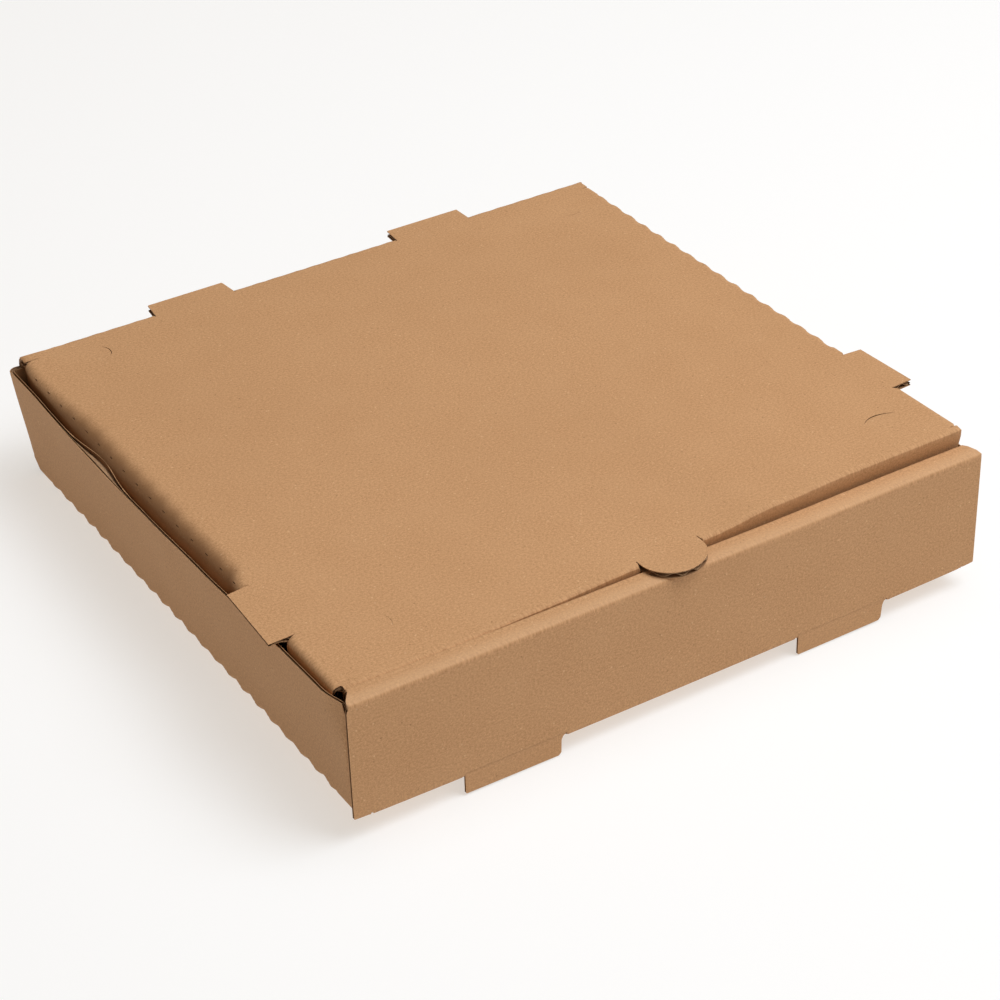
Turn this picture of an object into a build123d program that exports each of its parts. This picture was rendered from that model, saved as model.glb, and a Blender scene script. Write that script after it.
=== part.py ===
from build123d import *
import math
import os

# Corrugated pizza box, folded from one die-cut blank and hinged along its back fold.
# X runs across the front, Y to the back and Z up; sizes are millimetres.
# The origin is the centre of the base's underside, and the two feet reach below it.

# Board
board = 3.0  # thickness of the corrugated sheet
fold_inside = 0.5  # inside radius of a crushed fold
slip = 0.3  # gap between panels that lie against or slide past each other
slit = 0.5  # width of a knife cut

# Tray
front_width = 317.0  # front wall, end to end
box_depth = 313.5  # front face to back face
front_height = 56.0  # underside to the top of the rolled front
end_cover = 2.5  # how far the front wall covers each side wall's end
wall_drop = 2.0  # side walls' cut edge below the rolled front's top
wall_lean = 4.0  # how far out the side walls lean at that edge
shelf_width = 11.0  # flat top of the rolled front
front_ear_length = 60.0  # flap folded in from each side wall behind the front wall
ear_drop = 4.0  # ears' top edge below the side wall's
ear_taper = 6.0  # how much lower an ear is at its free end

# Feet: tongues of the front wall cut from the base, with the slots they leave
foot_width = 46.0
foot_centre = 84.0  # from the box's middle
foot_drop = 8.3  # below the underside

# Lid
lid_rise = 5.5  # lid's top face above the rolled front
lid_gap = 0.5  # between the lid's folds and the tray
flap_floor_gap = 13.0  # between the lid's flaps and the base
side_flap_setback = 6.5  # side flaps' back end from the back wall's inner face
flap_end_taper = 8.0  # degrees at the ends of the lid's flaps
front_flap_taper = 6.0  # how much narrower each end of the front flap is at its bottom
swing_margin = 1.2  # degrees more lean than the front flap needs to swing clear

# Tongues that stay in the lid's plane and leave holes in the walls and flaps
back_tab_width = 42.5
back_tab_centre = 66.25  # from the box's middle
back_tab_reach = 8.3  # beyond the back face
side_tab_width = 40.0
side_tab_centre = 72.0  # behind the box's front face
side_tab_reach = 8.3  # beyond the lid's side fold
thumb_radius = 15.0  # half-round grip in the front edge

# Thumbnail slits in the lid's corners: the left pair bulge to the right, the right pair to each other
nail_radius = 7.5
nail_half_angle = 48.0  # degrees
nail_left = 38.0  # from the lid's left fold
nail_right = 22.0  # from the lid's right fold
nail_back = 20.0  # left slit, from the back face
nail_front = 23.0  # left slit, from the lid's front fold
nail_step = 10.0  # how much further in the right-hand slits are

# Perforated side folds
perf_pitch = 12.7
perf_cut = 6.35

# Places worked out from the sizes above
bend = board + fold_inside  # outside radius of a fold
front_face = -box_depth / 2
back_face = box_depth / 2
front_half = front_width / 2
base_half = front_half - end_cover
floor_half = base_half - bend  # where the base's side folds start
panel_half = base_half - board - 2 * slip  # panels that stand between the side walls
wall_height = front_height - wall_drop  # side walls' cut edge above the underside
wall_end = box_depth / 2 - bend - slip  # side walls stop short of the front and back walls
wall_run = wall_end - bend  # straight part of a side wall
wall_angle = math.degrees(math.atan(wall_lean / wall_height))
ear_inner = wall_end - board  # ears' inner faces
lock_slot = box_depth / 2 - ear_inner + board + 2 * slip  # slot depth: three boards and their gaps
lid_top = front_height + lid_rise
lid_under = lid_top - board
lid_half = base_half + wall_lean - board - lid_gap
lid_front = front_face + shelf_width + lid_gap
flap_bottom = board + flap_floor_gap
flap_depth = lid_top - flap_bottom
lid_length = back_face - lid_front
front_flap_angle = math.degrees(math.atan(flap_depth / (2 * lid_length))) + swing_margin
wall_inside_low = base_half - board + wall_lean * flap_bottom / wall_height
side_flap_angle = math.degrees(math.atan((lid_half - wall_inside_low + 2 * lid_gap) / flap_depth))
tab_hole_depth = math.hypot(back_tab_reach, board) + slip
back_ear_length = panel_half - back_tab_centre - back_tab_width / 2 - 2 * bend
side_tab_middle = front_face + side_tab_centre
flap_hole_depth = side_tab_reach + board / 2


def block(x0, x1, y0, y1, z0, z1):
    return Pos((x0 + x1) / 2, (y0 + y1) / 2, (z0 + z1) / 2) * Box(x1 - x0, y1 - y0, z1 - z0)


def across(points, x0, x1):
    # A strip of board that follows (y, z) points along its middle, folded at each of them.
    line = FilletPolyline(*points, radius=board / 2 + fold_inside)
    return extrude(Plane.YZ.offset(x0) * trace(line, board), amount=x1 - x0)


def lengthways(points, y0, y1):
    # The same for (x, z) points, run from front to back.
    line = FilletPolyline(*points, radius=board / 2 + fold_inside)
    return extrude(Plane.XZ.offset(-y1) * trace(line, board), amount=y1 - y0)


def prism(plane, points, amount):
    return extrude(plane * make_face(Polyline(*points, close=True)), amount=amount)


def perforations(x, z, angle, y0, y1):
    # Knife cuts through a side fold, at the fold's pitch between two places.
    count = int((y1 - y0) // perf_pitch)
    first = (y0 + y1 - (count - 1) * perf_pitch) / 2
    knife = Rot(0, angle, 0) * Box(3 * bend, perf_cut, slit)
    return [Pos(x, first + i * perf_pitch, z) * knife for i in range(count)]


def side_wall():
    # The right-hand wall: folded up from the base, with an ear at each end.
    mid = board / 2
    top_x = base_half + wall_lean - mid
    wall = lengthways(
        [(floor_half - bend, mid), (base_half - mid, mid), (top_x, wall_height)], -wall_run, wall_run
    )
    lean = Pos(base_half, 0, 0) * Rot(0, wall_angle, 0)
    for side, length in ((-1, front_ear_length), (1, back_ear_length)):
        wall += lean * ear(side, length)
    return wall


def ear(side, length):
    # Seen from above: a short run of wall, the corner fold, and the flap across the box.
    mid = board / 2
    far = bend + length
    line = FilletPolyline(
        (-mid, side * (wall_run - bend)),
        (-mid, side * (wall_end - mid)),
        (-far, side * (wall_end - mid)),
        radius=board / 2 + fold_inside,
    )
    low, high = bend + slip, wall_height - ear_drop
    flap = extrude(Plane.XY.offset(low) * trace(line, board), amount=high - low)
    trim = [(-far, low), (-far, low + ear_taper), (-bend, low)]
    drop = [(-far, high), (-far, high - ear_taper), (-bend, high)]
    for outline in (trim, drop):
        flap -= prism(Plane.XZ.offset(-2 * box_depth), outline, 4 * box_depth)
    return flap


def front_wall():
    # Rolled front: outer wall, shelf and inner wall, with the lock tabs in the base's slots.
    mid = board / 2
    shelf_in = front_face + shelf_width
    shelf_z = front_height - mid
    outer = across(
        [
            (front_face + 2 * bend, mid),
            (front_face + mid, mid),
            (front_face + mid, shelf_z),
            (shelf_in - bend, shelf_z),
        ],
        -front_half,
        front_half,
    )
    for side in (-1, 1):
        taper = [
            (side * front_half, front_face + bend),
            (side * panel_half, shelf_in - bend),
            (side * panel_half, shelf_in),
            (side * (front_half + bend), shelf_in),
            (side * (front_half + bend), front_face + bend),
        ]
        outer -= prism(Plane.XY.offset(board * 2), taper, front_height)
        ends = sorted((side * floor_half, side * (front_half + bend)))
        outer -= block(*ends, front_face + bend, shelf_in, -board, board * 2)
    inner_low = front_face + lock_slot - slip - mid
    inner = across(
        [(shelf_in - bend - slip, shelf_z), (shelf_in - mid, shelf_z), (inner_low, board + slip)],
        -panel_half,
        panel_half,
    )
    return outer + inner


def feet_and_locks(tray):
    # Each foot leaves a slot in the base, and the inner wall's lock tab fills the slot's far side.
    for side in (-1, 1):
        x0 = side * foot_centre - foot_width / 2
        x1 = side * foot_centre + foot_width / 2
        slot_back = front_face + lock_slot
        tray -= block(x0, x1, front_face, slot_back, -board, board + slip / 2)
        tray += block(x0, x1, front_face, front_face + board, -foot_drop, bend)
        lock = block(
            x0 + slip, x1 - slip, slot_back - slip - board, slot_back - slip, 0, board + fold_inside
        )
        tray += lock
    return tray


def back_wall():
    # Folded up from the base to the hinge, where its top is mitred, with holes for the lid's tongues.
    mid = board / 2
    wall = across(
        [(back_face - 2 * bend, mid), (back_face - mid, mid), (back_face - mid, lid_top)],
        -lid_half,
        lid_half,
    )
    for side in (-1, 1):
        ends = sorted((side * floor_half, side * (lid_half + bend)))
        wall -= block(*ends, back_face - 3 * bend, back_face - bend, -board, board * 2)
    wall -= prism(Plane.YZ.offset(-front_width), hinge_mitre(1), 2 * front_width)
    for side in (-1, 1):
        half = back_tab_width / 2 + slip
        x = side * back_tab_centre
        wall -= block(x - half, x + half, back_face - bend, back_face + bend, lid_top - tab_hole_depth, lid_top)
    return wall


def hinge_mitre(side):
    # Section, in (y, z), of what the mitre through the hinge line takes off: 1 above it, -1 below.
    reach = board + bend
    shift = side * slip / math.sqrt(2)
    low = (back_face - reach, lid_top - reach - shift)
    high = (back_face + reach, lid_top + reach - shift)
    corner = (low[0], high[1]) if side > 0 else (high[0], low[1])
    return [low, high, corner]


def make_tray():
    tray = block(-floor_half, floor_half, -wall_run, wall_run, 0, board)
    for side in (-1, 1):
        y0, y1 = sorted((side * (wall_run - bend), side * (box_depth / 2 - bend)))
        tray += block(-floor_half, floor_half, y0, y1, 0, board)
    right = side_wall()
    tray += right
    tray += mirror(right, Plane.YZ)
    tray += front_wall()
    tray += back_wall()
    tray = feet_and_locks(tray)
    cuts = perforations(base_half - bend / 2, bend / 2, 45, -wall_run + bend, wall_run - bend)
    cuts += perforations(-base_half + bend / 2, bend / 2, -45, -wall_run + bend, wall_run - bend)
    return tray - cuts


def side_flap():
    # The right-hand flap of the lid, leaning in to clear the side wall, its ends tapered.
    mid = board / 2
    y0 = lid_front + bend + slip
    y1 = back_face - board - side_flap_setback
    lean = flap_depth * math.tan(math.radians(side_flap_angle))
    points = [
        (lid_half - 2 * bend, lid_top - mid),
        (lid_half - mid, lid_top - mid),
        (lid_half - mid - lean, flap_bottom),
    ]
    flap = lengthways(points, y0, y1)
    cut_back = flap_depth * math.tan(math.radians(flap_end_taper))
    front_end = [(y0, lid_under), (y0 + cut_back, flap_bottom - bend), (y0 - bend, flap_bottom - bend)]
    back_end = [(y1, lid_under), (y1 - cut_back, flap_bottom - bend), (y1 + bend, flap_bottom - bend)]
    for outline in (front_end, back_end):
        flap -= prism(Plane.YZ, outline, front_width)
    hole_y0 = side_tab_middle - side_tab_width / 2
    hole_y1 = side_tab_middle + side_tab_width / 2
    flap -= block(lid_half - bend - lean, lid_half + bend, hole_y0, hole_y1, lid_top - flap_hole_depth, lid_top)
    tab = block(lid_half - 2 * bend, lid_half + side_tab_reach, hole_y0, hole_y1, lid_under, lid_top)
    cuts = perforations(lid_half - bend / 2, lid_top - bend / 2, -45, y0 + bend, hole_y0 - bend)
    cuts += perforations(lid_half - bend / 2, lid_top - bend / 2, -45, hole_y1 + bend, y1 - bend)
    return flap + tab - cuts


def front_flap():
    # Tucks in behind the rolled front, leaning back so that it swings clear of it.
    mid = board / 2
    lean = flap_depth * math.tan(math.radians(front_flap_angle))
    points = [
        (lid_front + 2 * bend, lid_top - mid),
        (lid_front + mid, lid_top - mid),
        (lid_front + mid + lean, flap_bottom),
    ]
    flap = across(points, -lid_half, lid_half)
    for side in (-1, 1):
        ends = sorted((side * (lid_half - bend), side * (lid_half + bend)))
        flap -= block(*ends, lid_front + bend, lid_front + 3 * bend, lid_under - fold_inside, lid_top)
        outline = [
            (side * lid_half, lid_under),
            (side * (lid_half - front_flap_taper), flap_bottom - bend),
            (side * (lid_half + bend), flap_bottom - bend),
        ]
        flap -= prism(Plane.XZ.offset(-back_face), outline, box_depth)
    swept = Pos(0, lid_front + lean, lid_top) * Rot(90, 0, 0) * Cylinder(thumb_radius, 4 * bend + 2 * lean)
    flap -= swept
    grip = Pos(0, lid_front, lid_top - mid) * Cylinder(thumb_radius, board)
    grip &= block(-front_half, front_half, lid_front - front_width, lid_front + 2 * bend, lid_under, lid_top)
    return flap + grip


def nail_slit(x, y, direction):
    # A thin crescent cut through the lid; direction is where its bulge points, in degrees.
    ring = Circle(nail_radius + slit / 2) - Circle(nail_radius - slit / 2)
    reach = 2 * nail_radius
    spread = reach * math.tan(math.radians(nail_half_angle))
    wedge = make_face(Polyline((0, 0), (reach, spread), (reach, -spread), close=True))
    cut = extrude(ring & wedge, amount=3 * board)
    return Pos(x, y, lid_under - board) * Rot(0, 0, direction) * Pos(-nail_radius, 0, 0) * cut


def make_lid():
    y_flat = lid_front + bend
    lid = block(-lid_half + bend, lid_half - bend, y_flat, back_face + bend, lid_under, lid_top)
    flap_back = back_face - board - side_flap_setback
    lid += block(-lid_half, lid_half, flap_back + slip, back_face + bend, lid_under, lid_top)
    lid -= prism(Plane.YZ.offset(-front_width), hinge_mitre(-1), 2 * front_width)
    for side in (-1, 1):
        x = side * back_tab_centre
        half = back_tab_width / 2
        lid += block(x - half, x + half, back_face - 2 * bend, back_face + back_tab_reach, lid_under, lid_top)
    flap = side_flap()
    lid += flap
    lid += mirror(flap, Plane.YZ)
    lid += front_flap()
    back_y = back_face - nail_back
    front_y = lid_front + nail_front
    lid -= nail_slit(nail_left - lid_half, back_y, 0)
    lid -= nail_slit(nail_left - lid_half, front_y, 0)
    lid -= nail_slit(lid_half - nail_right, back_y - nail_step, -90)
    lid -= nail_slit(lid_half - nail_right, front_y + nail_step, 90)
    return lid


os.makedirs("parts", exist_ok=True)
for name, shape in (("tray", make_tray()), ("lid", make_lid())):
    solids = shape.solids()
    print(name, len(solids), "solid(s)", round(sum(s.volume for s in solids)), "mm3")
    export_step(shape, "parts/" + name + ".step")
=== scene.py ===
from math import atan, cos, hypot, pi, radians, sin, tan

import bpy
import numpy as np
from mathutils import Matrix, Vector
from mathutils.geometry import delaunay_2d_cdt


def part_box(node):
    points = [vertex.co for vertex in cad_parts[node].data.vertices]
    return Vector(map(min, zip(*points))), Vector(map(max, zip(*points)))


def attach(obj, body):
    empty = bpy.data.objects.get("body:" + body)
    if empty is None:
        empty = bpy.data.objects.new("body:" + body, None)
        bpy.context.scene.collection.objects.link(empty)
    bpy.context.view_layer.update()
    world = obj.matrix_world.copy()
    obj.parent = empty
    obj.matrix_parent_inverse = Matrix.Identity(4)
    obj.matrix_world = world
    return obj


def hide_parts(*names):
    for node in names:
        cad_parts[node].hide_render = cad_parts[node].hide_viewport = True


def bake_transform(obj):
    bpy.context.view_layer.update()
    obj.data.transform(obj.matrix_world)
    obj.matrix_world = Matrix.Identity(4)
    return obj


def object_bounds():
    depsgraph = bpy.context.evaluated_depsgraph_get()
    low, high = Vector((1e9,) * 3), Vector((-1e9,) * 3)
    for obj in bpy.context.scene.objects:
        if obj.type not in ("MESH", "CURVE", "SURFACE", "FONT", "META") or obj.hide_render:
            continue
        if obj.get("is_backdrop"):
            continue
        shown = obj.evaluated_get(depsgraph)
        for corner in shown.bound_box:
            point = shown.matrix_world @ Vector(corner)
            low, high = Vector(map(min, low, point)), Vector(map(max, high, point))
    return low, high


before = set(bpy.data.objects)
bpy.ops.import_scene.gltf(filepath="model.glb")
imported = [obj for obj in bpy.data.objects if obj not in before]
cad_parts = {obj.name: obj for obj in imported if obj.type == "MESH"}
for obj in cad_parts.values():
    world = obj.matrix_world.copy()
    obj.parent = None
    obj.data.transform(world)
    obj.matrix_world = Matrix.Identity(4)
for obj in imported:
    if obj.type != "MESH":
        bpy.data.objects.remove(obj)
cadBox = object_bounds()
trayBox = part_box("tray")
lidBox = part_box("lid")
mm = 1000.0

# Two die-cut blanks are drawn flat, u to the right and v to the back, and folded up point by point.
# Lengths are millimetres until a mesh is made; w is the height through the board, +1.5 on its outer face.
# The back, the top and the feet come from the CAD part's own box.
backTongue = 8.3  # how far the back tongues reach past the back face
backFace = round(lidBox[1].y * mm - backTongue, 3)
lidTop = round(lidBox[1].z * mm, 3)

box = {
    "front half": 158.5,  # front wall, from the middle to either end
    "base half": 156.0,
    "front height": 56.0,
    "shelf": 11.0,  # flat top of the rolled front
    "wall height": 54.0,
    "wall lean": 4.0,
    "inner half": 152.4,  # the rolled front's inner wall
    "inner lean": 0.9,
    "foot drop": -trayBox[0].z * mm,
    "lid half": 156.5,
    "lid front": -145.25,
    "flap bottom": 16.0,
    "side flap angle": 4.17,
    "front flap angle": 5.5,
}

board = {
    "half": 1.5,  # half the thickness of the board
    "liner": 0.42,  # thickness of the liner paper at a cut edge
    "bend": 2.0,  # radius of a fold, at the middle of the board
    "kerf": 0.4,
    "grid": 6.0,  # spacing of the flat parts' points
    "edge step": 1.0,
    "corner": 0.5,  # radius of a cut corner
    "flute pitch": 7.2,
    "flute paper": 0.28,
    "flute depth": 2.6,  # how far in the fluting is modelled behind a cut edge
}

perforation = {
    "pitch": 12.7,
    "cut": 6.35,
    "count": 22,
    "tray width": 0.3,
    "left cut": 2.6,  # what still shows of a cut on the lid's soft left roll
    "left width": 0.3,
    "right width": 0.24,
}
firstCut = -(perforation["count"] - 1) * perforation["pitch"] / 2

# Each side fold's radius beside a cut, at the bridge between two cuts, and the widest it gets
folds = {
    "tray": {-1: (0.5, 4.2, 4.3), 1: (0.8, 3.0, 3.1)},
    "lid": {-1: (7.6, 8.4, 8.5), 1: (0.7, 2.1, 2.2)},
    "front": 0.32,
    "shelf": 0.32,
    "inner": 0.6,
    "back": 1.6,
    "lid front": 0.4,
}


def smooth(x, a, b):
    t = np.clip((x - a) / (b - a), 0.0, 1.0)
    return t * t * (3 - 2 * t)


def ramp(x, stops):
    # Soft curve through (place, value) stops.
    places = [s[0] for s in stops]
    values = [s[1] for s in stops]
    out = np.full_like(np.asarray(x, float), values[0])
    for i in range(len(stops) - 1):
        step = (values[i + 1] - values[i]) * smooth(x, places[i], places[i + 1])
        out = np.where(x > places[i], values[i] + step, out)
    return out


def bell(x, middle, width):
    # 1 at the middle, falling away softly on both sides.
    return np.exp(-(((x - middle) / width) ** 2))


def band(x, low, high):
    # 1 from low to high, with short soft ends.
    return smooth(x, low - 1.2, low + 0.4) * (1 - smooth(x, high - 0.4, high + 1.2))


def chain(s, w, start, segments):
    # Walks a board's section: straight runs and folds, from start along +a. Gives a, b and the angle.
    # A segment is a length, or (turn in radians, widest radius, radius of each point).
    s = np.asarray(s, float)
    a = np.zeros_like(s)
    b = np.zeros_like(s)
    angle = np.zeros_like(s)
    place = np.array(start, float)
    heading = 0.0
    begin = 0.0
    wide = np.array(w, float)
    for number, seg in enumerate(segments):
        last = number == len(segments) - 1
        direction = np.array([cos(heading), sin(heading)])
        left = np.array([-direction[1], direction[0]])
        if isinstance(seg, tuple):
            turn, widest, radius = seg
            radius = np.broadcast_to(np.asarray(radius, float), s.shape)
            length = widest * turn
            pick = (s >= begin) if last else (s >= begin) & (s < begin + length)
            tangent = tan(turn / 2)
            lead = (widest - radius) * tangent
            total = 2 * lead + radius * turn
            d = (s - begin) / length * total
            t = np.clip((d - lead) / radius, 0.0, turn)
            centre = place[:, None] + direction[:, None] * lead + left[:, None] * radius
            rest = np.where(d < lead, d - lead, np.maximum(d - lead - radius * turn, 0.0))
            far = heading + np.where(d < lead, 0.0, turn)
            a = np.where(pick, centre[0] + radius * np.sin(heading + t) + rest * np.cos(far), a)
            b = np.where(pick, centre[1] - radius * np.cos(heading + t) + rest * np.sin(far), b)
            angle = np.where(pick, heading + t, angle)
            # The inside of a fold is crushed, and the outside of a crisp one comes to an edge
            crush = np.maximum(wide, -0.85 * radius)
            crisp = 0.6 * np.clip((1.2 - radius) / 0.6, 0, 1) * (wide > 0)
            crush = crush + crisp * (radius + crush) * (1 / np.cos(turn / 2 - np.abs(t - turn / 2)) - 1)
            wide = np.where(pick & (t > 0) & (t < turn), crush, wide)
            step = widest * tangent
            heading += turn
            after = np.array([cos(heading), sin(heading)])
            place = place + direction * step + after * step
            begin += length
        else:
            pick = (s >= begin) if last else (s >= begin) & (s < begin + seg)
            a = np.where(pick, place[0] + (s - begin) * direction[0], a)
            b = np.where(pick, place[1] + (s - begin) * direction[1], b)
            angle = np.where(pick, heading, angle)
            place = place + direction * seg
            begin += seg
    low = s < 0
    a = np.where(low, start[0] + s, a)
    b = np.where(low, start[1], b)
    return a + wide * np.sin(angle), b - wide * np.cos(angle), angle


def bridges(v):
    # 1 at the bridges between a side fold's cuts, 0 beside the cuts.
    wave = 0.5 - 0.5 * np.cos(2 * np.pi * (v - firstCut) / perforation["pitch"])
    wave = wave * (0.82 + 0.18 * np.sin(v * 0.083 + 0.7))
    ends = smooth(np.abs(v), -firstCut + 3.0, -firstCut + 5.0)
    return wave ** 1.2 * (1 - ends) + 0.2 * ends


def foldRadius(u, v, sheet):
    sharp, soft, _ = (np.where(u < 0, a, b) for a, b in zip(folds[sheet][-1], folds[sheet][1]))
    radius = sharp + (soft - sharp) * bridges(v)
    if sheet == "lid":
        # The lid's left roll tightens towards the tab, and the right fold is crisp by the front corner
        tight = 3.0 - 1.8 * smooth(-v, 104, 106)
        left = radius + (tight - radius) * smooth(-v, 48, 63)
        left = left + (2.0 - left) * smooth(v, 70, 144)
        right = radius + (0.6 - radius) * smooth(-v, 54, 62)
        radius = np.where(u < 0, left, right)
    return radius


def arcStart(u, v, sheet, spec, turn):
    # Where a side fold really begins to curve, for its radius at that place.
    return bySide(u, spec, 0) + (bySide(u, spec, 2) - foldRadius(u, v, sheet)) * tan(turn / 2) * 0.8


def arcRows(low, high, radius, turn):
    # Rows of points across a narrow fold: a few over its width and more over its arc.
    lead = (board["bend"] - radius) * tan(turn / 2)
    total = 2 * lead + radius * turn
    a, b = low + (high - low) * lead / total, low + (high - low) * (lead + radius * turn) / total
    return [(low, high, (high - low) / 3), (a - 0.04, b + 0.04, (b - a + 0.08) / 5)]


def crushed(w, amount):
    # Presses the board towards its outer face.
    return half - (half - w) * (1 - amount)


def fluteRipple(u):
    return 1 + 0.05 * np.sin(2 * np.pi * u / board["flute pitch"]) + 0.05 * np.sin(u * 0.61 + 1.3)


def foldStart(vertex, turn, sheet):
    # Flat places where the left and right side folds start and end.
    out = {}
    for sign in (-1, 1):
        widest = folds[sheet][sign][2]
        begin = vertex - widest * tan(turn / 2)
        out[sign] = (begin, begin + widest * turn, widest)
    return out


def sideChain(u, v, w, spec, turn, sheet):
    # The section of a side: flat panel, side fold and wall or flap, on the left or the right.
    radius = foldRadius(u, v, sheet)
    found = []
    for sign in (-1, 1):
        begin, _, widest = spec[sign]
        found.append(chain(np.abs(u) - begin, w, (begin, half), [(turn, widest, radius), 200.0]))
    return [np.where(u < 0, a, b) for a, b in zip(*found)]


def bySide(u, spec, index):
    return np.where(u < 0, spec[-1][index], spec[1][index])


half = board["half"]
bend = board["bend"]
outer = half + bend  # outside radius of a fold
quarter = pi / 2

# Tray, flat places
wallTurn = quarter - atan(box["wall lean"] / (box["wall height"] - half))
traySide = foldStart(box["base half"] - half, wallTurn, "tray")


def wallU(height, side):
    # Flat place of a height on a side wall.
    _, end, widest = traySide[side]
    low = half + widest * tan(wallTurn / 2) * sin(wallTurn)
    return end + (height - low) / sin(wallTurn)


wallRun = backFace - outer - 0.3 - outer
earFold = bend * quarter
frontFold = -(backFace - outer)
frontWall = frontFold - bend * quarter
frontTop = frontWall - (box["front height"] - 2 * outer)
shelfStart = frontTop - bend * quarter
shelfEnd = shelfStart - (box["shelf"] - 2 * outer)
innerTurn = quarter + radians(box["inner lean"])
innerStart = shelfEnd - bend * innerTurn
innerEnd = innerStart - 49.0
backFold = backFace - outer
backWall = backFold + bend * quarter
backTop = backWall + (lidTop - 2 * outer)
footTip = frontWall + outer + box["foot drop"]

foot = {  # two ends, the fillet at the right root, and the right side's slant
    "left": (-107.0, -60.6, 2.6, -0.2),
    "right": (61.2, 107.3, 2.4, -0.6),
    "slot": 1.0,
}
footRoot = frontWall + 1.5


def footRight(key):
    # A foot's right-hand outline as (v, u) from its root to its tip.
    _, b, fillet, slant = foot[key]
    down = [footRoot - 0.01, footRoot + 1.1, footRoot + 2.8, footTip - 1.2, footTip + 1.0]
    return down, [b + fillet, b + fillet * 0.3, b, b + slant, b + slant - 1.0]


def inFoot(u, v):
    out = np.zeros(u.shape, bool)
    for key in ("left", "right"):
        down, across = footRight(key)
        out |= (u > foot[key][0] - 0.2) & (u < np.interp(v, down, across) + 0.2)
    return out & (v >= footRoot - 0.02) & (v < footTip + 0.25)


earLow = {side: wallU(8.5, side) for side in (-1, 1)}
backHalf = 151.0  # back wall, from the middle to either end
looseAt = 62.0  # where the left wall's inner liner has come away


def foldTray(u, v, w):
    u, v, w = (np.asarray(x, float) for x in (u, v, w))
    au = np.abs(u)
    av = np.abs(v)
    sideOf = np.where(u < 0, -1.0, 1.0)
    endOf = np.where(v < 0, -1.0, 1.0)
    begin = bySide(u, traySide, 0)
    ear = np.where(u < 0, earLow[-1], earLow[1]) - 0.7
    x = u.copy()
    y = v.copy()
    z = half - w
    # Cut edges that handling has pressed thin: the feet, the front's ends and the left wall's top
    press = 0.0
    inFront = (v > footRoot) & (v < footTip + 0.25)
    for key in ("left", "right"):
        edge = foot[key][0]
        press = press + 0.66 * (1 - smooth(np.abs(u - edge), 0.6, 3.5)) * (u > edge - 0.2) * inFront
    isEnd = (v < frontFold) & (v > shelfEnd)
    press = press + 0.62 * smooth(-u, box["front half"] - 3.5, box["front half"] - 0.4) * isEnd * (-u < 160)
    bulge = bell(v, looseAt, 22)
    wallEdge = wallU(box["wall height"], -1)
    press = press + (0.55 - 0.5 * bulge) * smooth(-u, wallEdge - 5.0, wallEdge - 0.6) * (av < wallRun)
    w = crushed(w, np.clip(press, 0, 0.7))
    # Side walls and their ears
    earLong, earIn, _ = chain(av - wallRun, w, (wallRun, 0.0), [(quarter, bend, bend), 200.0])
    isWall = (au > begin) & (av < wallRun + 3.6) | (au > ear) & (av > wallRun + 3.0)
    hasEar = (au > ear) & (av > wallRun)
    a0, b0, angle = sideChain(u, v, np.zeros_like(w), traySide, wallTurn, "tray")
    a1, b1, _ = sideChain(u, v, w, traySide, wallTurn, "tray")
    x = np.where(isWall, sideOf * np.where(hasEar, a0 - np.sin(angle) * earIn, a1), x)
    z = np.where(isWall, np.where(hasEar, b0 + np.cos(angle) * earIn, b1), z)
    y = np.where(hasEar, endOf * earLong, y)
    # Rolled front
    ripple = fluteRipple(u)
    isFront = (v < frontFold) & ~isWall
    section = [
        (quarter, bend, folds["front"] * ripple),
        frontWall - frontTop,
        (quarter, bend, folds["shelf"] * ripple),
        shelfStart - shelfEnd,
        (innerTurn, bend, folds["inner"] * ripple),
        200.0,
    ]
    a, b, _ = chain(-(v - frontFold), w, (-frontFold, half), section)
    y = np.where(isFront, -a, y)
    z = np.where(isFront, b, z)
    # Tongues that stay in the front wall's plane: the feet and the corners
    isCorner = (v >= frontWall) & (v < frontFold + 1.0) & (au > begin + board["kerf"] / 2)
    isTongue = ~isWall & (inFoot(u, v) | isCorner)
    y = np.where(isTongue, -(backFace - half) - w, y)
    z = np.where(isTongue, outer - (v - frontWall), z)
    # Back wall
    isBack = (v > backFold) & ~isWall
    a, b, _ = chain(v - backFold, w, (backFold, half), [(quarter, bend, folds["back"] * ripple), 200.0])
    y = np.where(isBack, a, y)
    z = np.where(isBack, b, z)
    return settleTray(x, y, z, w, isWall)


wallBow = [
    (-157, -0.3), (-139, -0.3), (-105, 0.1), (-73, 0.9), (-40, 1.7),
    (10, 2.6), (50, 3.0), (110, 2.3), (157, 1.6),
]


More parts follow.
